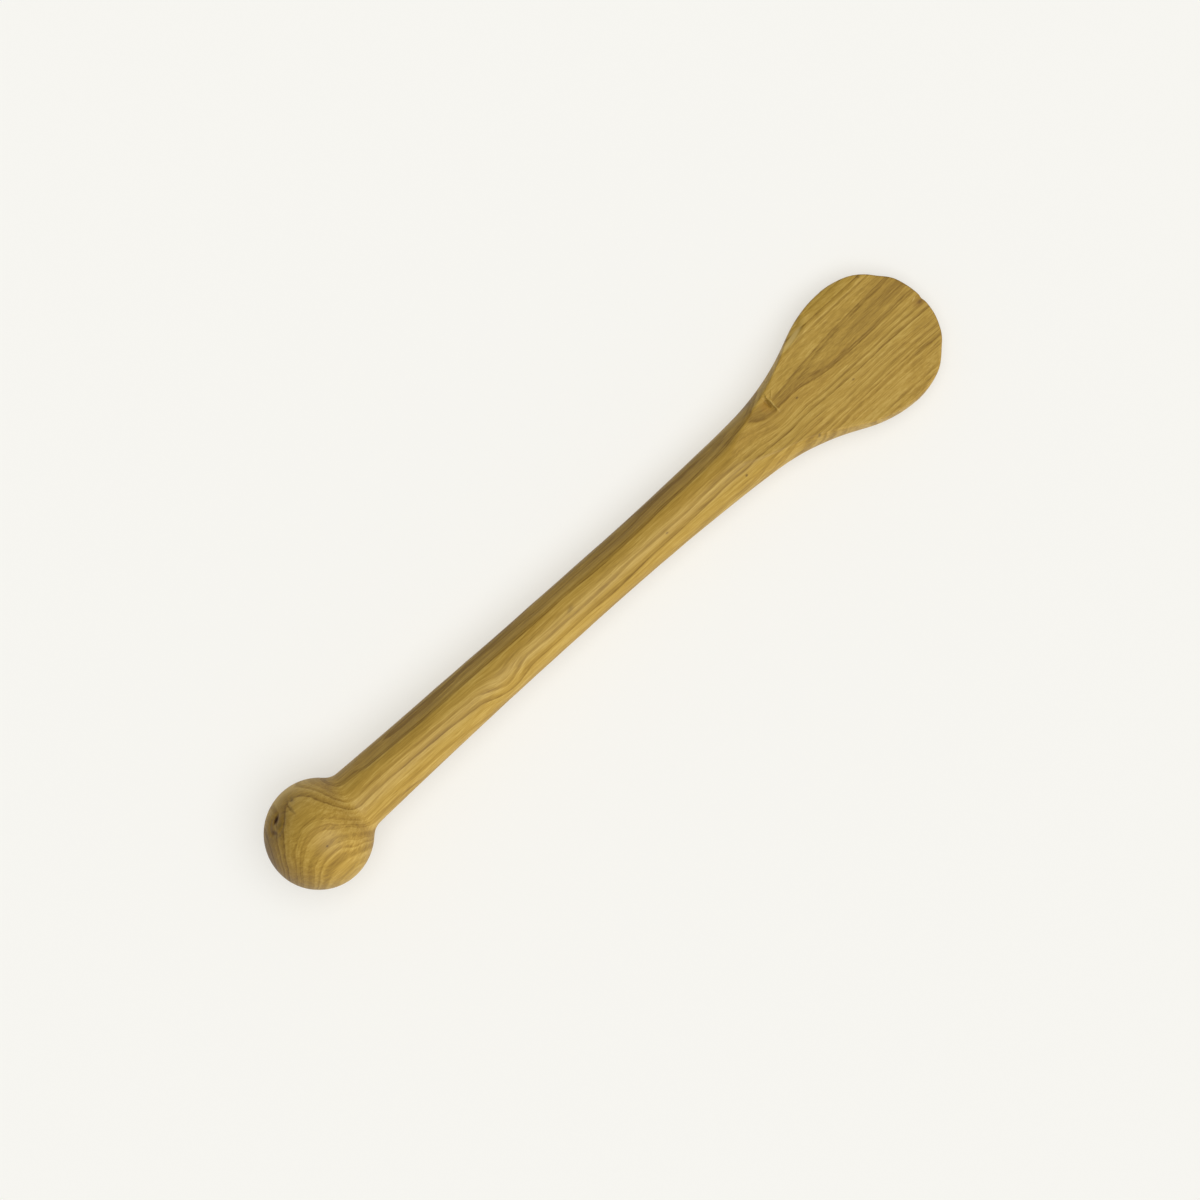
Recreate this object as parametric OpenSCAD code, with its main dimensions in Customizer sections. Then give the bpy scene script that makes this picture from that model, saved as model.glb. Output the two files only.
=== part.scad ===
// Turned wooden mustard spoon: a ball knob, a waisted round stem and a pear-shaped blade with two flats.
// The wood is turned about one axis, and the blade is then flattened on both sides. Its three regions are
// separate solids that meet face to face on planes square to the turning axis.
// Millimetres. The spoon lies as it does on a table: on the ball and on the heel where the back flat begins,
// with +X along the spoon towards the blade's tip and +Z up. The origin is at the bottom centre of its box.

/* [Overall] */
// Length from the end of the ball to the blade's tip
overall_length = 120; // [105:1:140]

/* [Knob] */
// Diameter of the ball
knob_d = 15.5; // [13:0.1:18]
// Radius of the cove between the ball and the stem
cove_r = 2.6; // [1:0.1:4]

/* [Handle] */
// Diameter of the stem where the cove ends
neck_d = 9.1; // [8:0.1:10.5]
// Diameter of the stem at its waist
waist_d = 7.7; // [6:0.1:8]
// Distance of the waist from the ball's centre
waist_x = 54; // [40:1:60]

/* [Blade] */
// Widest width of the blade
blade_w = 20.3; // [17:0.1:25]
// Length of the flats, from the heel to the tip
flat_length = 34; // [30:0.5:38]
// Diameter of the stem at the heel, where the flats begin
heel_d = 9; // [8.2:0.1:10.5]
// Radius of the blade's shoulders, where the flare rounds over to the widest place
shoulder_r = 18; // [13:0.5:26]
// Thickness of the blade at its tip
tip_t = 1.1; // [0.8:0.1:2.4]

/* [Hidden] */
$fn = 180;

wood = [0.84, 0.66, 0.36];

knob_r = knob_d / 2;
neck_r = neck_d / 2;
waist_r = waist_d / 2;
heel_r = heel_d / 2;
blade_r = blade_w / 2;
tip_half = tip_t / 2;

// Stations along the turning axis, counted from the ball's centre
tip_x = overall_length - knob_r;
heel_x = tip_x - flat_length;
shoulder_x = tip_x - blade_r; // widest place, and centre of the round end
cove_x = sqrt(pow(knob_r + cove_r, 2) - pow(neck_r + cove_r, 2)); // where the cove runs out into the stem
cove_a = asin((neck_r + cove_r) / (knob_r + cove_r)); // where the cove leaves the ball, as an angle from the axis
blade_x = heel_x - 1; // where the handle ends and the blade begins

// The flats lie at flat_a to the turning axis, from the stem's surface at the heel to the tip's half thickness
flat_a = atan((heel_r - tip_half) / flat_length);

// How far the spoon tips down towards the blade when the ball and the heel both touch the table
lie_a = atan2(heel_x, heel_r) - acos(knob_r / sqrt(pow(heel_x, 2) + pow(heel_r, 2)));

// The middle of the spoon's length as it lies
middle_x = (shoulder_x * cos(lie_a) + blade_r - knob_r) / 2;

// The flare. A straight taper runs past the heel, a hollow arc leaves it, the shoulder's arc rounds over to the
// widest place, and the round end follows. Points are [radius, station]. The curves overlap by lap and so cross
// at clear points, with a kink of one or two degrees, where exact tangents would leave slivers.
lap = 0.003;
taper = 0.065; // radius gained for each millimetre along
taper_end = [heel_r + taper * 2.6, heel_x + 2.6];
shoulder_c = [blade_r - lap - shoulder_r, shoulder_x]; // centre of the shoulder's arc
hollow_dir = [1, -taper] / norm([1, taper]); // from the taper towards the hollow's centre
hollow_edge = taper_end - lap * hollow_dir; // the hollow's arc passes here, just inside the taper
// The hollow's radius, so that it runs along the taper there and reaches the shoulder's arc
hollow_r = (pow(norm(hollow_edge - shoulder_c), 2) - pow(shoulder_r - lap, 2))
    / (2 * (shoulder_r - lap - hollow_dir * (hollow_edge - shoulder_c)));
hollow_c = hollow_edge + hollow_r * hollow_dir;
turn = shoulder_c + shoulder_r * (hollow_c - shoulder_c) / norm(hollow_c - shoulder_c); // hollow meets shoulder

// Radius of the stem: a parabola each side of the waist
stem_end_r = heel_r - taper * (heel_x - blade_x);
function stem_r(x) =
    x < waist_x ? waist_r + (neck_r - waist_r) * pow((waist_x - x) / (waist_x - cove_x), 2) :
    waist_r + (stem_end_r - waist_r) * pow((x - waist_x) / (blade_x - waist_x), 2);

// Puts the turning axis along the lying spoon
module lying() {
    translate([-middle_x, 0, knob_r]) rotate([0, lie_a, 0]) rotate([0, 90, 0]) children();
}

// Ball and cove: the ball's outline up to the cove's end, filled out to the stem and hollowed by the cove
module knob() {
    leave = knob_r * [sin(cove_a), cos(cove_a)]; // where the cove leaves the ball
    color(wood) lying() rotate_extrude() difference() {
        union() {
            intersection() {
                circle(knob_r);
                translate([0, -knob_r - 1]) square([knob_r + 1, knob_r + 1 + cove_x]);
            }
            polygon([[0, 0], leave, [neck_r, cove_x], [0, cove_x]]);
        }
        translate([neck_r + cove_r, cove_x]) circle(cove_r);
    }
}

// Waisted stem
module handle() {
    steps = 32;
    side = [for (i = [0 : steps]) let (x = cove_x + (blade_x - cove_x) * i / steps) [stem_r(x), x]];
    color(wood) lying() rotate_extrude() polygon(concat([[0, cove_x]], side, [[0, blade_x]]));
}

// The blade as it is turned, before it is flattened
module turned_blade() {
    rotate_extrude() {
        // taper, a little past the hollow's start
        taper_x = taper_end[1] + 1;
        polygon([[0, blade_x], [stem_end_r, blade_x], taper_end + [taper, 1], [0, taper_x]]);
        // hollow
        difference() {
            translate([0, taper_end[1]]) square([blade_r, turn[1] - taper_end[1]]);
            translate(hollow_c) circle(hollow_r, $fn = 720);
        }
        // shoulder's arc, from a little before the hollow's end
        intersection() {
            translate(shoulder_c) circle(shoulder_r, $fn = 720);
            translate([0, turn[1] - 1]) square([blade_r + 1, shoulder_x - turn[1] + 1]);
        }
        // round end
        intersection() {
            translate([0, shoulder_x]) circle(blade_r);
            translate([0, shoulder_x - 2]) square(blade_r + 3);
        }
    }
}

// Everything past one flat, with the flat on the side that the sign says. The turning axis is along Z here.
module beyond_flat(side) {
    block = 60;
    translate([side * heel_r, 0, heel_x]) rotate([0, -side * flat_a, 0])
        translate([side > 0 ? 0 : -block, -block / 2, -block / 4]) cube([block, block, block * 1.25]);
}

// Flare and round end, flattened on both sides
module blade() {
    color(wood) lying() difference() {
        turned_blade();
        beyond_flat(1);
        beyond_flat(-1);
    }
}

knob();
handle();
blade();
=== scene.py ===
"""Looks of the turned wooden mustard spoon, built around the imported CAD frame.

The real spoon is one piece of wood. Its whole surface is described once, as an implicit solid in the spoon's own
frame (millimetres, X along the turning axis from the ball's centre, Z up out of the blade's face). A fine skin is
laid on that solid and cut on the two planes that part the CAD nodes, so the three pieces meet without a seam.
"""

import math

import bmesh
import bpy
import numpy as np
from mathutils import Matrix, Vector


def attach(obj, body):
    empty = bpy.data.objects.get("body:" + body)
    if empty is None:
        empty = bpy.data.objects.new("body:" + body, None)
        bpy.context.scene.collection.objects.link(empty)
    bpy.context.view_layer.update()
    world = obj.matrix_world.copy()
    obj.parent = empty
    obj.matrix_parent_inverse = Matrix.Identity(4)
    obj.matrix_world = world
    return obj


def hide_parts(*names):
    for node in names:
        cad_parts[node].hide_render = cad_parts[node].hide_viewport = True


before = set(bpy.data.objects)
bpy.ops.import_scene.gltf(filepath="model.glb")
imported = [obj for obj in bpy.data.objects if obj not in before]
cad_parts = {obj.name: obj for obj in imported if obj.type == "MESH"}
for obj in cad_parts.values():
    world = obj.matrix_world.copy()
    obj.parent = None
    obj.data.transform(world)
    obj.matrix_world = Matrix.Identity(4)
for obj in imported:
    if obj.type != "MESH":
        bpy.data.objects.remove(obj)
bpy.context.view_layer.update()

# ---
# Sizes, in millimetres, as in the CAD model
# ---
KNOB_R = 7.75
COVE_R = 2.6
NECK_R = 4.55
WAIST_R = 3.85
WAIST_X = 54.0
HEEL_R = 4.5
BLADE_R = 10.15
SHOULDER_R = 18.0
TIP_HALF = 0.55
FLAT_LENGTH = 34.0
TIP_X = 120.0 - KNOB_R
HEEL_X = TIP_X - FLAT_LENGTH
SHOULDER_X = TIP_X - BLADE_R
COVE_X = math.sqrt((KNOB_R + COVE_R) ** 2 - (NECK_R + COVE_R) ** 2)
COVE_A = math.asin((NECK_R + COVE_R) / (KNOB_R + COVE_R))
BLADE_X = HEEL_X - 1.0
FLAT_SLOPE = (HEEL_R - TIP_HALF) / FLAT_LENGTH
TAPER = 0.065
LIE = math.atan2(HEEL_X, HEEL_R) - math.acos(KNOB_R / math.hypot(HEEL_X, HEEL_R))
MIDDLE_X = (SHOULDER_X * math.cos(LIE) + BLADE_R - KNOB_R) / 2

VOXEL = 0.115


def to_world(p):
    """Spoon frame in millimetres to the row frame in metres."""
    c, s = math.cos(LIE), math.sin(LIE)
    x = p[:, 0] * c + p[:, 2] * s - MIDDLE_X
    z = -p[:, 0] * s + p[:, 2] * c + KNOB_R
    return np.stack([x, p[:, 1], z], 1) * 0.001


def turn_to_world(n):
    c, s = math.cos(LIE), math.sin(LIE)
    return np.stack([n[:, 0] * c + n[:, 2] * s, n[:, 1], -n[:, 0] * s + n[:, 2] * c], 1)


# ---
# The turned outline
# ---
def smooth_line(v, step, sigma):
    k = int(4 * sigma / step)
    w = np.exp(-0.5 * (np.arange(-k, k + 1) * step / sigma) ** 2)
    w /= w.sum()
    e = np.concatenate([2 * v[0] - v[k:0:-1], v, 2 * v[-1] - v[-2 : -k - 2 : -1]])
    return np.convolve(e, w, mode="valid")


def make_outline():
    """Turned radius at each station from where the cove leaves the ball to the widest place of the blade."""
    x = np.arange(4.0, 106.0, 0.01)
    r = np.empty_like(x)
    leave = KNOB_R * math.cos(COVE_A)
    ball = x < leave
    r[ball] = np.sqrt(KNOB_R**2 - x[ball] ** 2)
    cove = (x >= leave) & (x < COVE_X)
    r[cove] = NECK_R + COVE_R - np.sqrt(COVE_R**2 - (x[cove] - COVE_X) ** 2)
    front = (x >= COVE_X) & (x < WAIST_X)
    r[front] = WAIST_R + (NECK_R - WAIST_R) * ((WAIST_X - x[front]) / (WAIST_X - COVE_X)) ** 2
    end_r = HEEL_R - TAPER * (HEEL_X - BLADE_X)
    back = (x >= WAIST_X) & (x < BLADE_X)
    r[back] = WAIST_R + (end_r - WAIST_R) * ((x[back] - WAIST_X) / (BLADE_X - WAIST_X)) ** 2
    # flare: taper, hollow arc, shoulder's arc, round end
    te = np.array([HEEL_R + TAPER * 2.6, HEEL_X + 2.6])
    sc = np.array([BLADE_R - SHOULDER_R, SHOULDER_X])
    d = np.array([1, -TAPER]) / math.hypot(1, TAPER)
    hr = ((te - sc) @ (te - sc) - SHOULDER_R**2) / (2 * (SHOULDER_R - d @ (te - sc)))
    hc = te + hr * d
    tn = sc + SHOULDER_R * (hc - sc) / np.linalg.norm(hc - sc)
    a = (x >= BLADE_X) & (x < te[1])
    r[a] = HEEL_R + TAPER * (x[a] - HEEL_X)
    b = (x >= te[1]) & (x < tn[1])
    r[b] = hc[0] - np.sqrt(hr**2 - (x[b] - hc[1]) ** 2)
    c = (x >= tn[1]) & (x < SHOULDER_X)
    r[c] = sc[0] + np.sqrt(SHOULDER_R**2 - (x[c] - sc[1]) ** 2)
    e = x >= SHOULDER_X
    r[e] = np.sqrt(BLADE_R**2 - (x[e] - SHOULDER_X) ** 2)
    soft = smooth_line(r, 0.01, 0.28)
    soft2 = smooth_line(r, 0.01, 0.9)
    w = np.clip((x - 20) / 10, 0, 1)
    return x, soft * (1 - w) + soft2 * w


OX, OR = make_outline()
OD = np.gradient(OR, OX)


def bump(v, centre, width):
    return np.exp(-(((v - centre) / width) ** 2))


def step(v, lo, hi):
    t = np.clip((v - lo) / (hi - lo), 0, 1)
    return t * t * (3 - 2 * t)


def smax(a, b, k):
    h = np.maximum(k - np.abs(a - b), 0)
    return np.maximum(a, b) + h * h / (4 * k)


# A small value noise of the script's own, so that the handwork is the same on every run
RNG = np.random.default_rng(41)
LATTICE = RNG.uniform(-1, 1, (32, 32, 32))


def noise(x, y, z):
    out = 0.0
    xi, yi, zi = np.floor(x).astype(int), np.floor(y).astype(int), np.floor(z).astype(int)
    fx, fy, fz = x - xi, y - yi, z - zi
    ux, uy, uz = (f * f * (3 - 2 * f) for f in (fx, fy, fz))
    for i in (0, 1):
        for j in (0, 1):
            for k in (0, 1):
                g = LATTICE[(xi + i) % 32, (yi + j) % 32, (zi + k) % 32]
                out = out + g * (ux if i else 1 - ux) * (uy if j else 1 - uy) * (uz if k else 1 - uz)
    return out


# The stick isn't dead straight: its middle bows a little to +Y, in a plain arc
BOW = 0.40
BOW_MIDDLE = 51.0
BOW_REACH = 53.0


def bow(x):
    return BOW * (1 - ((x - BOW_MIDDLE) / BOW_REACH) ** 2)


# Small flats and corners that handwork left on the blade's rim, by the angle about the blade's middle in degrees
# (0 is the tip, and the sign is that of Y): (angle, width in degrees, height in millimetres)
RIM = [
    (27, 7.0, 0.11),
    (40, 6.0, -0.11),
    (60, 10.0, 0.08),
    (-16, 12.0, 0.11),
    (-30, 7.5, 0.12),
    (-41, 5.0, -0.03),
    (-56, 9.0, 0.13),
    (1.5, 2.4, -0.13),
]


def solid(p):
    """Less than 0 inside the wood. Close to the surface it is nearly the distance in millimetres."""
    x, y, z = p[:, 0], p[:, 1], p[:, 2]
    y = y - bow(x)
    # the rim's own shape: pull points in or out about the blade's middle
    dx = x - (SHOULDER_X - 0.5)
    ang = np.degrees(np.arctan2(y, np.maximum(dx, -2)))
    rim = sum(h * bump(ang, a, w) for a, w, h in RIM)
    rim = rim * step(dx, -1, 3) * step(np.hypot(dx, y), 5, 9.5)
    rr = np.hypot(y, z)
    # turned body
    prof = (rr - np.interp(x, OX, OR)) / np.sqrt(1 + np.interp(x, OX, OD) ** 2)
    ball = np.sqrt(x * x + rr * rr) - KNOB_R
    end = np.sqrt((x - SHOULDER_X) ** 2 + rr * rr) - BLADE_R
    f = np.where(x < 5.2, ball, np.where(x > SHOULDER_X, end, prof)) - rim
    # the turner's hand: a faint waviness along the stem, and a slightly flatter flank on +Y with a soft arris
    up = np.degrees(np.arctan2(y, z))  # 0 at the top, + towards +Y
    on_stem = step(x, 6.5, 12) * (1 - step(x, 76, 86))
    lean = math.radians(44)
    cut = y * math.sin(lean) + z * math.cos(lean)
    cut = cut - np.interp(x, OX, OR) * (1 - 0.055 * on_stem) - (1 - on_stem) * 0.6
    f = np.where(on_stem > 0, smax(f, cut, 0.22), f)
    f = f + 0.035 * on_stem * noise(x * 0.11 + 3, up / 46 + 7, x * 0 + 2.5)
    f = f + 0.02 * noise(x * 0.35, y * 0.35 + 5, z * 0.35 + 9)
    # face: starts a little before the heel, scooped a touch, with a step where the cut stopped
    top = HEEL_R - FLAT_SLOPE * (x - HEEL_X)
    scoop = 0.14 * bump(x, 78.5, 2.2) + 0.24 * bump(x, 83.2, 3.4) * (1 - step(x, 86.3, 87.6))
    top = top - scoop + 0.07 * bump(x, 90.3, 2.6)
    top = top + 0.022 * noise(x * 0.22 + 11, y * 0.32 + 4, 0 * x + 1.5) * step(x, 80, 86)
    # the torn nick and the ridge beside it
    nick = np.exp(-(((x - 86.15) / 0.26) ** 2) - ((y - 2.9) / 0.85) ** 2)
    line = 86.68 + 0.09 * np.sin(y * 5.0) * step(y, 1.0, 3.5)
    ridge = bump(x, line, 0.15) * step(y, 0.8, 1.5) * (1 - step(y, 3.8, 4.5))
    ridge2 = bump(x - 0.9 * (y - 3.1), 87.0, 0.14) * step(y, 3.0, 3.4) * (1 - step(y, 3.7, 4.2))
    top = top - 0.24 * nick + 0.14 * ridge + 0.08 * ridge2
    # chip along the +Y edge, and the edge worn rounder beyond it
    chip = np.maximum(y - (6.35 + 0.262 * (x - 92.0)), 0) * step(x, 91.3, 94.5) * (1 - step(x, 96.2, 98.4))
    top = top - 0.62 * chip
    worn = np.maximum(y - 7.4, 0) ** 2 * step(x, 96.5, 99.5) * (1 - step(x, 104.5, 108.5))
    top = top - 0.085 * worn
    bottom = HEEL_R - FLAT_SLOPE * (x - HEEL_X)
    bottom = bottom + 0.02 * noise(x * 0.2 + 21, y * 0.3 + 14, 0 * x + 6.5) * step(x, 80, 86)
    n = math.hypot(1, FLAT_SLOPE)
    k = 0.15 + 0.12 * step(x, 98, 107)
    f = smax(f, (z - top) / n, k)
    f = smax(f, (-z - bottom) / n, k + 0.05)
    # knot in the ball: a shallow oval groove with a deep eye at one end and a small one at the other
    above = z > 0
    kx, ky = x + 3.0, y - 4.4
    a1 = kx * 0.891 + ky * 0.454  # along the oval
    b1 = -kx * 0.454 + ky * 0.891
    oval = np.hypot(a1 / 1.6, b1 / 1.0)
    groove = 0.09 * bump(oval, 1.0, 0.22)
    eye = 0.50 * np.exp(-(((a1 - 0.5) / 0.62) ** 2) - ((b1 - 0.4) / 0.25) ** 2)
    eye2 = 0.16 * np.exp(-(((a1 + 1.25) / 0.38) ** 2) - ((b1 + 0.03) / 0.34) ** 2)
    dent = 0.08 * np.exp(-((a1 / 2.6) ** 2) - (b1 / 1.8) ** 2)
    # the torn check beside it, with a low ridge between its two halves
    check = 0.16 * np.exp(-(((x + 0.17) / 0.17) ** 2) - ((y - 4.63) / 0.85) ** 2)
    check = check - 0.06 * np.exp(-(((x - 0.24) / 0.14) ** 2) - ((y - 4.5) / 1.0) ** 2)
    check2 = 0.14 * np.exp(-(((x - 0.7) / 0.26) ** 2) - ((y - 5.74) / 0.5) ** 2)
    f = f + np.where(above & (x < 5), groove + eye + eye2 + dent + check + check2, 0.0)
    return f


def gradient(p, e=0.012):
    g = np.empty_like(p)
    for i in range(3):
        d = np.zeros(3)
        d[i] = e
        g[:, i] = (solid(p + d) - solid(p - d)) / (2 * e)
    return g


# ---
# A fine skin on the solid
# ---
WARP_X = np.arange(-9, 114.001, 0.05)
WARP_M = 1 - 0.5 * step(WARP_X, 9, 14) * (1 - step(WARP_X, 70, 75))
WARP_V = np.concatenate([[0], np.cumsum((WARP_M[1:] + WARP_M[:-1]) / 2 * 0.05)])


def rough_mesh():
    """A plain closed skin of rings, close to the solid, with the stem shortened so that its quads come out long."""
    stations = np.concatenate(
        [
            -KNOB_R * np.cos(np.linspace(0.02, 2.38, 90)),
            np.linspace(5.65, 102.0, 420),
            SHOULDER_X + BLADE_R * np.sin(np.linspace(0.0, math.pi / 2 - 0.02, 80)),
        ]
    )
    n = 160
    verts, faces = [], []
    phi = np.linspace(0, 2 * math.pi, n, endpoint=False)
    for x in stations:
        if x < 5.6:
            r = math.sqrt(max(KNOB_R**2 - x * x, 1e-4))
        elif x > SHOULDER_X:
            r = math.sqrt(max(BLADE_R**2 - (x - SHOULDER_X) ** 2, 1e-4))
        else:
            r = float(np.interp(x, OX, OR))
        h = HEEL_R - FLAT_SLOPE * (x - HEEL_X)
        y, z = r * np.cos(phi), r * np.sin(phi)
        z = np.clip(z, -h, h)
        xs = np.full(n, np.interp(x, WARP_X, WARP_V))
        verts.append(np.stack([xs, y + bow(np.array([x]))[0], z], 1))
    m = len(stations)
    for j in range(m - 1):
        for i in range(n):
            k = (i + 1) % n
            faces.append((j * n + i, j * n + k, (j + 1) * n + k, (j + 1) * n + i))
    faces.append(tuple(range(n - 1, -1, -1)))
    faces.append(tuple((m - 1) * n + i for i in range(n)))
    mesh = bpy.data.meshes.new("rough")
    mesh.from_pydata(np.concatenate(verts).tolist(), [], faces)
    mesh.update()
    return mesh


def skin():
    """Vertices and quads of the spoon's whole surface, in the spoon's frame."""
    holder = bpy.data.objects.new("rough", rough_mesh())
    bpy.context.scene.collection.objects.link(holder)
    mod = holder.modifiers.new("even", "REMESH")
    mod.mode = "VOXEL"
    mod.voxel_size = VOXEL
    mod.adaptivity = 0
    dg = bpy.context.evaluated_depsgraph_get()
    made = holder.evaluated_get(dg).to_mesh()
    co = np.empty(len(made.vertices) * 3, np.float32)
    made.vertices.foreach_get("co", co)
    p = co.reshape(-1, 3).astype(float)
    loops = np.empty(len(made.loops), np.int32)
    made.loops.foreach_get("vertex_index", loops)
    quads = loops.reshape(-1, 4)
    holder.evaluated_get(dg).to_mesh_clear()
    rough = holder.data
    bpy.data.objects.remove(holder)
    bpy.data.meshes.remove(rough)
    p[:, 0] = np.interp(p[:, 0], WARP_V, WARP_X)
    # neighbours, to keep the points evenly spread as they settle on the solid
    ends = np.concatenate([quads[:, [0, 1]], quads[:, [1, 2]], quads[:, [2, 3]], quads[:, [3, 0]]])
    count = np.bincount(ends[:, 0], minlength=len(p)) + np.bincount(ends[:, 1], minlength=len(p))
    for turn in range(9):
        g = gradient(p)
        gg = np.maximum((g * g).sum(1), 0.25)
        p = p - (solid(p) / gg)[:, None] * g
        if turn < 6:
            s = np.empty_like(p)
            for i in range(3):
                s[:, i] = np.bincount(ends[:, 0], p[ends[:, 1], i], len(p)) + np.bincount(
                    ends[:, 1], p[ends[:, 0], i], len(p)
                )
            move = s / count[:, None] - p
            nrm = g / np.linalg.norm(g, axis=1)[:, None]
            move -= (move * nrm).sum(1)[:, None] * nrm
            p = p + 0.5 * move
    return p, quads


def build_pieces():
    p, quads = skin()
    whole = bpy.data.meshes.new("whole")
    whole.from_pydata(p.tolist(), [], quads.tolist())
    whole.update()
    made = []
    limits = {"knob": (None, COVE_X), "handle": (COVE_X, BLADE_X), "blade": (BLADE_X, None)}
    for name, (lo, hi) in limits.items():
        bm = bmesh.new()
        bm.from_mesh(whole)
        caps = []
        for cut, side in ((lo, -1), (hi, 1)):
            if cut is None:
                continue
            geom = bm.verts[:] + bm.edges[:] + bm.faces[:]
            got = bmesh.ops.bisect_plane(
                bm,
                geom=geom,
                dist=0.004,
                plane_co=(cut, 0, 0),
                plane_no=(side, 0, 0),
                clear_outer=True,
                clear_inner=False,
            )
            rim = [e for e in got["geom_cut"] if isinstance(e, bmesh.types.BMEdge) and e.is_valid]
            filled = bmesh.ops.contextual_create(bm, geom=rim)
            caps += filled["faces"]
        bmesh.ops.recalc_face_normals(bm, faces=bm.faces[:])
        for f in bm.faces:
            f.smooth = True
        for f in caps:
            f.smooth = False
        bm.faces.index_update()
        flat = {f.index for f in caps}
        mesh = bpy.data.meshes.new(name)
        bm.to_mesh(mesh)
        bm.free()
        co = np.empty(len(mesh.vertices) * 3, np.float32)
        mesh.vertices.foreach_get("co", co)
        q = co.reshape(-1, 3).astype(float)
        g = gradient(q, 0.03)
        g /= np.linalg.norm(g, axis=1)[:, None]
        mesh.vertices.foreach_set("co", to_world(q).astype(np.float32).ravel())
        n = turn_to_world(g)
        loops = np.empty(len(mesh.loops), np.int32)
        mesh.loops.foreach_get("vertex_index", loops)
        normals = n[loops]
        for f in flat:
            poly = mesh.polygons[f]
            normals[poly.loop_start : poly.loop_start + poly.loop_total] = poly_normal(q, loops, poly)
        mesh.update()
        mesh.normals_split_custom_set(normals.tolist())
        obj = bpy.data.objects.new("wood_" + name, mesh)
        bpy.context.scene.collection.objects.link(obj)
        made.append((name, obj))
    bpy.data.meshes.remove(whole)
    return made


def poly_normal(q, loops, poly):
    """A cap's own normal, along the turning axis, away from the piece."""
    ring = q[loops[poly.loop_start : poly.loop_start + poly.loop_total]]
    c = ring.mean(0)
    a = ring - c
    b = np.roll(ring, -1, 0) - c
    s = np.sign(np.cross(a, b)[:, 0].sum())
    return turn_to_world(np.array([[s, 0.0, 0.0]]))[0]


# ---
# Wood
# ---
class Graph:
    """Short calls for making shader nodes."""

    def __init__(self, tree):
        self.t = tree

    def put(self, socket, value):
        if hasattr(value, "is_output"):
            self.t.links.new(value, socket)
        elif value is not None:
            socket.default_value = value

    def math(self, op, a, b=None, c=None, clamp=False):
        n = self.t.nodes.new("ShaderNodeMath")
        n.operation, n.use_clamp = op, clamp
        for s, v in zip(n.inputs, (a, b, c)):
            self.put(s, v)
        return n.outputs[0]

    def add(self, a, b):
        return self.math("ADD", a, b)

    def sub(self, a, b):
        return self.math("SUBTRACT", a, b)

    def mul(self, a, b):
        return self.math("MULTIPLY", a, b)

    def vec(self, op, a, b=None):
        n = self.t.nodes.new("ShaderNodeVectorMath")
        n.operation = op
        self.put(n.inputs[0], a)
        self.put(n.inputs[1], b)
        return n.outputs["Value" if op in ("LENGTH", "DISTANCE", "DOT_PRODUCT") else "Vector"]

    def sep(self, v):
        n = self.t.nodes.new("ShaderNodeSeparateXYZ")
        self.put(n.inputs[0], v)
        return n.outputs[0], n.outputs[1], n.outputs[2]

    def comb(self, x, y, z):
        n = self.t.nodes.new("ShaderNodeCombineXYZ")
        for s, v in zip(n.inputs, (x, y, z)):
            self.put(s, v)
        return n.outputs[0]

    def noise(self, v, scale=1.0, detail=2.0, rough=0.5, lac=2.0, colour=False, w=None):
        n = self.t.nodes.new("ShaderNodeTexNoise")
        n.noise_dimensions = "1D" if w is not None else "3D"
        if w is not None:
            self.put(n.inputs["W"], w)
        else:
            self.put(n.inputs["Vector"], v)
        self.put(n.inputs["Scale"], scale)
        self.put(n.inputs["Detail"], detail)
        self.put(n.inputs["Roughness"], rough)
        self.put(n.inputs["Lacunarity"], lac)
        return n.outputs["Color" if colour else "Fac"]

    def white(self, w):
        n = self.t.nodes.new("ShaderNodeTexWhiteNoise")
        n.noise_dimensions = "1D"
        self.put(n.inputs["W"], w)
        return n.outputs["Value"]

    def ramp(self, v, lo, hi, a=0.0, b=1.0, kind="SMOOTHSTEP"):
        n = self.t.nodes.new("ShaderNodeMapRange")
        n.interpolation_type = kind
        self.put(n.inputs["Value"], v)
        for s, x in zip(("From Min", "From Max", "To Min", "To Max"), (lo, hi, a, b)):
            self.put(n.inputs[s], x)
        return n.outputs["Result"]

    def mix(self, fac, a, b, mode="MIX"):
        n = self.t.nodes.new("ShaderNodeMix")
        n.data_type, n.blend_type = "RGBA", mode
        self.put(n.inputs["Factor"], fac)
        self.put(n.inputs[6], a)
        self.put(n.inputs[7], b)
        return n.outputs[2]

    def blob(self, p, centre, size, turn=0.0, inner=0.0, outer=1.0):
        """1 near centre, falling to 0 at the ellipsoid with these half sizes. turn is about Z in degrees."""
        n = self.t.nodes.new("ShaderNodeMapping")
        n.vector_type = "TEXTURE"
        self.put(n.inputs["Vector"], p)
        n.inputs["Location"].default_value = centre
        n.inputs["Rotation"].default_value = (0, 0, math.radians(turn))
        n.inputs["Scale"].default_value = size
        return self.ramp(self.vec("LENGTH", n.outputs[0]), inner, outer, 1.0, 0.0)


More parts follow.
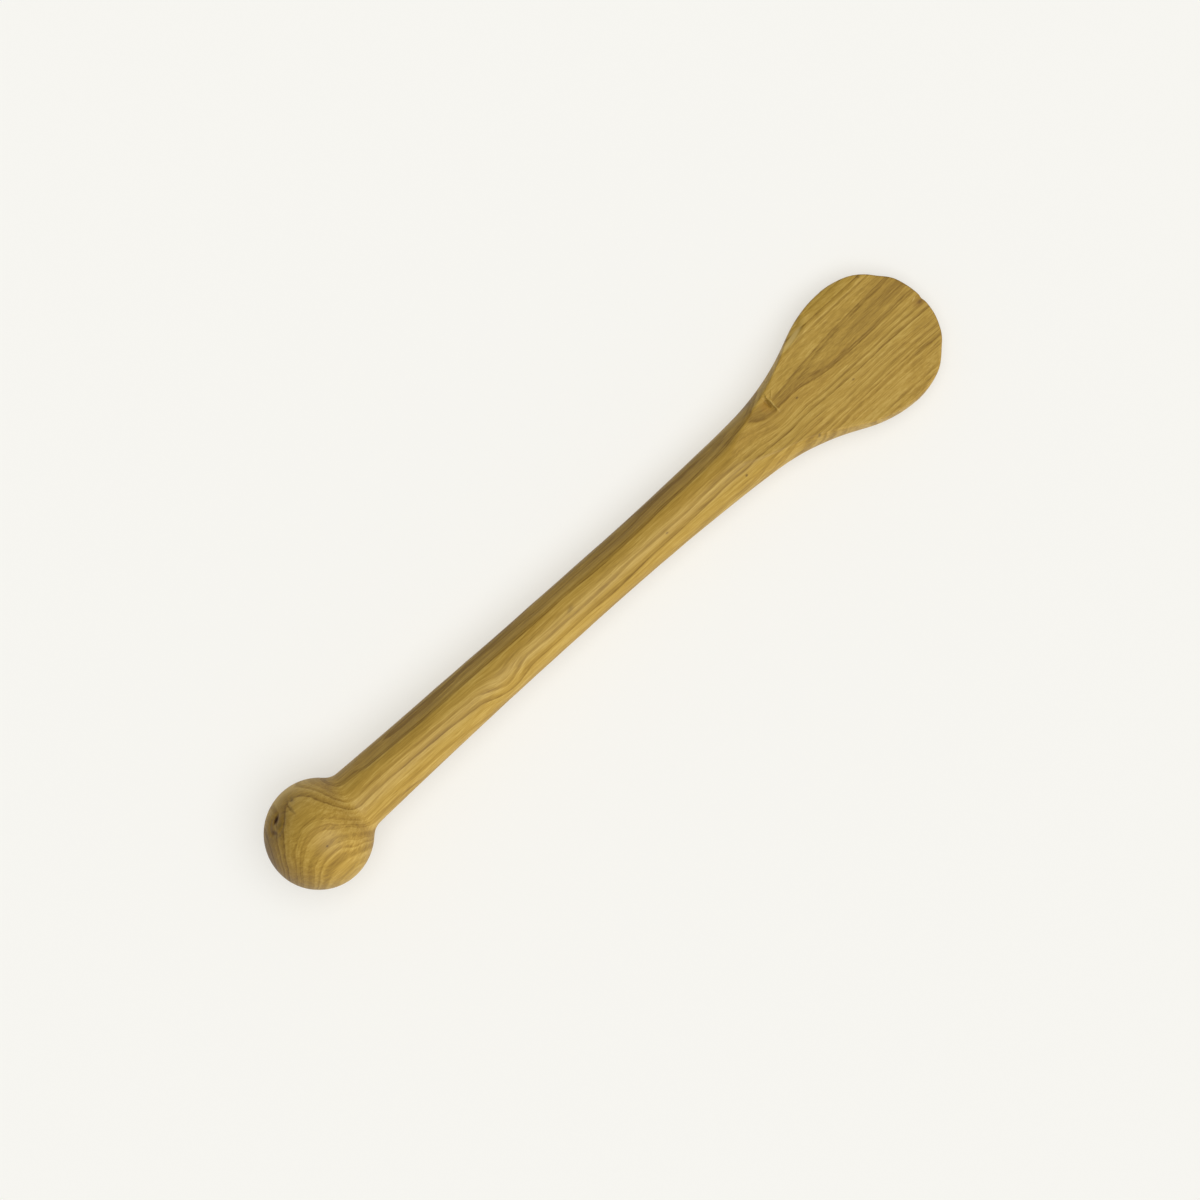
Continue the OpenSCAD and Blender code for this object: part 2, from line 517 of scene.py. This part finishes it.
def wood_material():
    mat = bpy.data.materials.new("boxwood")
    mat.use_nodes = True
    tree = mat.node_tree
    tree.nodes.clear()
    g = Graph(tree)
    out = tree.nodes.new("ShaderNodeOutputMaterial")
    bsdf = tree.nodes.new("ShaderNodeBsdfPrincipled")
    tree.links.new(bsdf.outputs[0], out.inputs[0])
    bsdf.inputs["IOR"].default_value = 1.46
    bsdf.inputs["Specular IOR Level"].default_value = 0.34

    # spoon frame, in millimetres
    tc = tree.nodes.new("ShaderNodeTexCoord")
    mp = tree.nodes.new("ShaderNodeMapping")
    mp.vector_type = "POINT"
    mp.inputs["Scale"].default_value = (1000, 1000, 1000)
    mp.inputs["Rotation"].default_value = (0, -LIE, 0)
    mp.inputs["Location"].default_value = (
        MIDDLE_X * math.cos(LIE) + KNOB_R * math.sin(LIE),
        0,
        MIDDLE_X * math.sin(LIE) - KNOB_R * math.cos(LIE),
    )
    tree.links.new(tc.outputs["Object"], mp.inputs["Vector"])
    p = mp.outputs[0]
    px, py, pz = g.sep(p)

    # the grain wanders slowly, and dips past the nick and round the knot
    slow = g.noise(g.vec("MULTIPLY", p, (0.035, 0.11, 0.11)), 1.0, 1.5, 0.5, colour=True)
    slow = g.vec("SUBTRACT", slow, (0.5, 0.5, 0.5))
    fine = g.noise(g.vec("MULTIPLY", p, (0.12, 0.6, 0.6)), 1.0, 2.0, 0.5, colour=True)
    fine = g.vec("SUBTRACT", fine, (0.5, 0.5, 0.5))
    q = g.vec("ADD", p, g.vec("MULTIPLY", slow, (0, 1.9, 1.9)))
    q = g.vec("ADD", q, g.vec("MULTIPLY", fine, (0, 0.32, 0.32)))
    dip = g.blob(p, (86.3, 1.2, 3.4), (5.5, 5.0, 5.0))
    round_knot = g.blob(p, (-3.0, 4.4, 5.3), (4.6, 4.2, 4.2))
    qx, qy, qz = g.sep(q)
    qy = g.add(qy, g.mul(dip, 0.55))
    qy = g.add(qy, g.mul(round_knot, -0.9))
    lower = g.blob(p, (33.6, -1.2, 3.5), (5.0, 3.6, 4.0))
    qy = g.add(qy, g.mul(lower, 0.9))
    # growth rings about a pith line that runs along the +Y flank, and sinks under the blade's face
    past = g.math("MAXIMUM", g.sub(px, 78.0), 0.0)
    ry = g.sub(qy, g.add(g.mul(past, 0.02), 2.7))
    rz = g.sub(qz, g.add(g.mul(past, -0.066), 1.2))
    rho = g.math("SQRT", g.add(g.mul(ry, ry), g.mul(rz, rz)))
    turn = g.add(g.mul(rho, 1.12), g.mul(g.noise(None, 0.9, 1.5, 0.5, w=rho), 1.9))
    part = g.math("FRACT", turn)
    ring = g.mul(g.ramp(part, 0.35, 0.90), g.ramp(part, 0.90, 1.0, 1.0, 0.0))
    ring = g.mul(ring, g.ramp(g.white(g.math("FLOOR", turn)), 0.0, 1.0, 0.25, 1.0, "LINEAR"))
    turn2 = g.add(g.mul(rho, 2.4), g.mul(g.noise(None, 1.3, 2.0, 0.5, w=g.add(rho, 31.0)), 2.2))
    part2 = g.math("FRACT", turn2)
    ring2 = g.mul(g.ramp(part2, 0.2, 0.7), g.ramp(part2, 0.7, 1.0, 1.0, 0.0))
    ring2 = g.mul(ring2, g.ramp(g.white(g.math("FLOOR", turn2)), 0.0, 1.0, 0.0, 1.0, "LINEAR"))
    pale = g.mul(g.ramp(part, 0.0, 0.12, 1.0, 0.0), g.ramp(g.white(g.math("FLOOR", g.add(turn, 0.0))), 0.5, 1.0))

    # fibre, in short and long streaks along the grain
    fx = g.mul(px, 1.0)
    f1 = g.noise(g.comb(g.mul(fx, 0.10), g.mul(qy, 2.6), g.mul(qz, 2.6)), 1.0, 3.0, 0.55)
    f2 = g.noise(g.comb(g.mul(fx, 0.45), g.mul(qy, 7.5), g.mul(qz, 7.5)), 1.0, 2.0, 0.5)
    patch = g.noise(g.vec("MULTIPLY", p, (0.07, 0.22, 0.22)), 1.0, 2.0, 0.5)
    speck = g.noise(g.vec("MULTIPLY", p, (2.2, 6.0, 6.0)), 1.0, 1.0, 0.5)

    tone = g.add(
        g.add(g.mul(ring, -0.34), g.mul(ring2, -0.20)),
        g.add(
            g.add(g.mul(g.sub(f1, 0.5), 0.75), g.mul(g.sub(f2, 0.5), 0.60)),
            g.add(g.mul(g.sub(patch, 0.5), 0.40), g.mul(pale, 0.14)),
        ),
    )
    # darker, browner towards the pith line along the +Y flank: partly the wood's own darker core, partly painted
    # shade on that flank and on the +Y side of the blade's face
    pith_and_flank_shade = g.ramp(rho, 0.8, 4.2, 1.0, 0.0)
    tone = g.add(tone, g.mul(pith_and_flank_shade, -0.30))
    light = (0.580, 0.400, 0.100, 1)
    middle = (0.415, 0.258, 0.040, 1)
    dark = (0.215, 0.118, 0.012, 1)
    col = g.mix(g.ramp(tone, -0.60, -0.12, 0.0, 1.0, "LINEAR"), dark, middle)
    col = g.mix(g.ramp(tone, -0.12, 0.30, 0.0, 1.0, "LINEAR"), col, light)
    # end grain is darker: the ends of the ball, the cove and the rim of the tip
    geo = tree.nodes.new("ShaderNodeNewGeometry")
    end = g.vec("DOT_PRODUCT", geo.outputs["Normal"], (math.cos(LIE), 0, -math.sin(LIE)))
    end = g.ramp(g.mul(end, end), 0.0, 0.85, 0.0, 0.85)
    col = g.mix(end, col, (0.55, 0.48, 0.34, 1), "MULTIPLY")
    # warmer and cooler patches
    hue = g.noise(g.vec("MULTIPLY", p, (0.05, 0.3, 0.3)), 1.0, 1.0, 0.5)
    col = g.mix(g.ramp(hue, 0.35, 0.7, 0.0, 0.35), col, (1.0, 0.93, 0.78, 1), "MULTIPLY")
    col = g.mix(g.ramp(speck, 0.62, 0.75, 0.0, 0.20), col, (0.62, 0.56, 0.42, 1), "MULTIPLY")

    # knot in the ball; the wide darkening round it on the ball's +Y side is partly the knot's own darker wood and
    # partly painted shade
    on = g.ramp(pz, 0.5, 1.5)
    knot_and_side_shade = g.mul(on, g.blob(p, (-3.0, 4.7, 5.3), (5.2, 3.6, 5.0), 27))
    col = g.mix(g.mul(knot_and_side_shade, 0.85), col, (0.52, 0.46, 0.26, 1), "MULTIPLY")
    k_eye = g.mul(on, g.blob(p, (-2.74, 4.98, 5.3), (0.95, 0.42, 3.0), 27, 0.2, 1.0))
    k_low = g.mul(on, g.blob(p, (-4.1, 3.8, 5.3), (0.75, 0.5, 3.0), -50, 0.1, 1.0))
    k_side = g.mul(on, g.blob(p, (-2.7, 3.93, 5.3), (0.95, 0.5, 3.0), 25, 0.2, 1.0))
    k_in = g.mul(on, g.blob(p, (-3.5, 4.15, 5.3), (0.75, 0.24, 3.0), 66, 0.2, 1.0))
    col = g.mix(g.mul(k_side, 0.6), col, (0.150, 0.098, 0.008, 1))
    col = g.mix(g.mul(k_low, 0.8), col, (0.110, 0.050, 0.005, 1))
    col = g.mix(g.mul(k_in, 0.7), col, (0.40, 0.26, 0.055, 1))
    col = g.mix(g.mul(k_eye, 0.95), col, (0.050, 0.014, 0.004, 1))
    chk = g.mul(on, g.blob(p, (-0.17, 4.63, 5.3), (0.28, 1.0, 3.0), 0, 0.1, 1.0))
    chk2 = g.mul(on, g.blob(p, (0.7, 5.74, 5.3), (0.36, 0.6, 3.0), 0, 0.1, 1.0))
    col = g.mix(g.mul(g.math("MAXIMUM", chk, chk2), 0.6), col, (0.17, 0.10, 0.010, 1))
    # nick on the face
    nick = g.mul(on, g.blob(p, (85.6, 3.0, 3.3), (1.1, 1.5, 2.5), 0, 0.1, 1.0))
    col = g.mix(g.mul(nick, 0.45), col, (0.34, 0.165, 0.015, 1))
    gash = g.mul(on, g.blob(p, (86.2, 3.0, 3.3), (0.24, 1.1, 2.5), 4, 0.1, 1.0))
    col = g.mix(g.mul(gash, 0.7), col, (0.20, 0.105, 0.010, 1))
    lip = g.mul(on, g.blob(p, (86.7, 2.7, 3.3), (0.2, 1.7, 2.5), 0, 0.2, 1.0))
    col = g.mix(g.mul(lip, 0.5), col, (0.56, 0.40, 0.11, 1))
    # fresh wood in the chip, with a dark line under it
    under = g.mul(on, g.blob(p, (95.6, 7.2, 2.0), (2.2, 0.28, 2.4), 14, 0.2, 1.0))
    col = g.mix(g.mul(under, 0.5), col, (0.26, 0.150, 0.016, 1))
    chip = g.mul(on, g.blob(p, (94.6, 7.65, 2.0), (3.0, 0.46, 2.4), 14, 0.45, 1.0))
    col = g.mix(g.mul(chip, 0.75), col, (0.64, 0.46, 0.15, 1))
    # brown spot at the tip, with a pale fleck beside it
    tip = g.blob(p, (111.5, -0.15, 0.0), (1.6, 1.1, 3.0), -14, 0.1, 1.0)
    tip2 = g.blob(p, (111.6, -0.1, 0.0), (0.7, 0.45, 3.0), 0, 0.1, 1.0)
    col = g.mix(g.mul(tip, 0.55), col, (0.24, 0.120, 0.016, 1))
    col = g.mix(g.mul(tip2, 0.75), col, (0.13, 0.062, 0.010, 1))
    fleck = g.mul(g.blob(p, (111.2, 0.72, 0.5), (0.6, 0.14, 2.0), 17, 0.2, 1.0), g.ramp(pz, 0.1, 0.4))
    col = g.mix(g.mul(fleck, 0.7), col, (0.60, 0.42, 0.13, 1))
    # pin knots and small dark marks
    for at, size, turn_, much in (
        ((89.75, 1.0, 3.0), (0.35, 0.22, 2), 0, 0.75),
        ((97.35, -2.2, 2.3), (0.38, 0.2, 2), 0, 0.6),
        ((63.9, -1.1, 3.8), (0.35, 0.2, 2), 0, 0.6),
        ((77.4, -2.45, 3.7), (0.35, 0.25, 2), 10, 0.8),
        ((0.45, -2.6, 7.2), (0.3, 0.25, 2), 0, 0.75),
        ((46.9, -0.1, 4.0), (1.1, 0.45, 2), 20, 0.35),
        ((88.65, -4.95, 2.9), (0.5, 0.3, 2), 25, 0.7),
        ((107.4, 8.2, 1.0), (0.5, 0.25, 2), -50, 0.7),
        ((-3.6, 2.85, 6.2), (0.3, 0.25, 2), 0, 0.5),
    ):
        b = g.mul(on, g.blob(p, at, size, turn_, 0.1, 1.0))
        col = g.mix(g.mul(b, much), col, (0.10, 0.05, 0.012, 1))
    tree.links.new(col, bsdf.inputs["Base Color"])

    rough = g.add(0.50, g.add(g.mul(g.sub(f1, 0.5), 0.16), g.mul(g.sub(patch, 0.5), 0.12)))
    rough = g.add(rough, g.add(g.mul(ring, 0.05), g.mul(knot_and_side_shade, 0.10)))
    tree.links.new(rough, bsdf.inputs["Roughness"])

    bmp = tree.nodes.new("ShaderNodeBump")
    bmp.inputs["Strength"].default_value = 0.35
    bmp.inputs["Distance"].default_value = 0.00008
    height = g.add(g.add(g.mul(f1, 0.8), g.mul(f2, 0.9)), g.add(g.mul(ring, -0.35), g.mul(speck, 0.3)))
    tree.links.new(height, bmp.inputs["Height"])
    tree.links.new(bmp.outputs[0], bsdf.inputs["Normal"])
    return mat


# ---
# Stage: floor, light and camera
# ---
def plain_floor():
    mesh = bpy.data.meshes.new("floor")
    s = 9.0
    mesh.from_pydata([(-s, -s, 0), (s, -s, 0), (s, s, 0), (-s, s, 0)], [], [(0, 1, 2, 3)])
    floor = bpy.data.objects.new("floor", mesh)
    bpy.context.scene.collection.objects.link(floor)
    mat = bpy.data.materials.new("floor")
    mat.use_nodes = True
    b = mat.node_tree.nodes["Principled BSDF"]
    b.inputs["Base Color"].default_value = (0.500, 0.495, 0.473, 1)
    b.inputs["Roughness"].default_value = 1.0
    b.inputs["Specular IOR Level"].default_value = 0.0
    # a softly glowing table, as on a lit studio panel, so that shadows on it stay faint
    b.inputs["Emission Color"].default_value = (0.459, 0.455, 0.434, 1)
    b.inputs["Emission Strength"].default_value = 1.0
    mesh.materials.append(mat)
    return floor


def sky():
    world = bpy.data.worlds.new("studio")
    bpy.context.scene.world = world
    world.use_nodes = True
    t = world.node_tree
    t.nodes.clear()
    g = Graph(t)
    out = t.nodes.new("ShaderNodeOutputWorld")
    bg = t.nodes.new("ShaderNodeBackground")
    t.links.new(bg.outputs[0], out.inputs[0])
    tc = t.nodes.new("ShaderNodeTexCoord")
    x, y, z = g.sep(tc.outputs["Generated"])
    up = g.ramp(z, 0.11, 0.24)
    col = g.mix(up, (0.939, 0.930, 0.888, 1), (0.30, 0.30, 0.30, 1))
    t.links.new(col, bg.inputs["Color"])
    bg.inputs["Strength"].default_value = 1.0


def lamp(name, towards, energy, angle, lit):
    """A wide soft sun that shines from the direction towards, on the things in lit only."""
    data = bpy.data.lights.new(name, "SUN")
    data.energy = energy
    data.angle = math.radians(angle)
    obj = bpy.data.objects.new(name, data)
    group = bpy.data.collections.new(name + "_lights")
    for thing in lit:
        group.objects.link(thing)
    obj.light_linking.receiver_collection = group
    obj.rotation_mode = "QUATERNION"
    obj.rotation_quaternion = Vector(towards).to_track_quat("Z", "Y")
    bpy.context.scene.collection.objects.link(obj)
    return obj


def direction(tilt, bearing):
    """tilt from straight up, bearing from +X towards -Y, in degrees."""
    a, b = math.radians(tilt), math.radians(bearing)
    return (math.sin(a) * math.cos(b), -math.sin(a) * math.sin(b), math.cos(a))


def camera():
    data = bpy.data.cameras.new("camera")
    data.lens = 110.0
    data.sensor_width = 36.0
    data.clip_start, data.clip_end = 0.01, 50.0
    cam = bpy.data.objects.new("camera", data)
    bpy.context.scene.collection.objects.link(cam)
    bpy.context.scene.camera = cam
    # the photograph's frame is 166.8 mm wide at the spoon, and its middle is beside the stem
    width = 0.1668
    lean = math.radians(4.5)  # the camera stands this far round the spoon's length, towards -Y
    far = width / 2 / (data.sensor_width / 2 / data.lens)
    aim = Vector(to_world(np.array([[50.82, -1.63, 0.4]]))[0])
    back = Vector((0, -math.sin(lean), math.cos(lean)))
    along = Vector((math.cos(LIE), 0, -math.sin(LIE)))
    back = (back - along * back.dot(along)).normalized()
    across = back.cross(along)  # +Y side, up in the picture when the spoon lies level
    roll = math.radians(41.58)
    right = along * math.cos(roll) - across * math.sin(roll)
    up = along * math.sin(roll) + across * math.cos(roll)
    m = Matrix((right, up, back)).transposed().to_4x4()
    m.translation = aim + back * far
    cam.matrix_world = m
    return cam


# ---
# Put it together
# ---
wood = wood_material()
pieces = []
for node, piece in build_pieces():
    piece.data.materials.append(wood)
    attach(piece, "root")
    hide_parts(node)
    pieces.append(piece)

table = plain_floor()
sky()
lamp("key", direction(36, 64), 2.5, 42, pieces)
lamp("table_light", direction(14, 62), 2.0, 65, [table])
camera()

view = bpy.context.scene.view_settings
view.view_transform = "Standard"
view.look = "None"
view.exposure = 0.0
view.gamma = 1.0
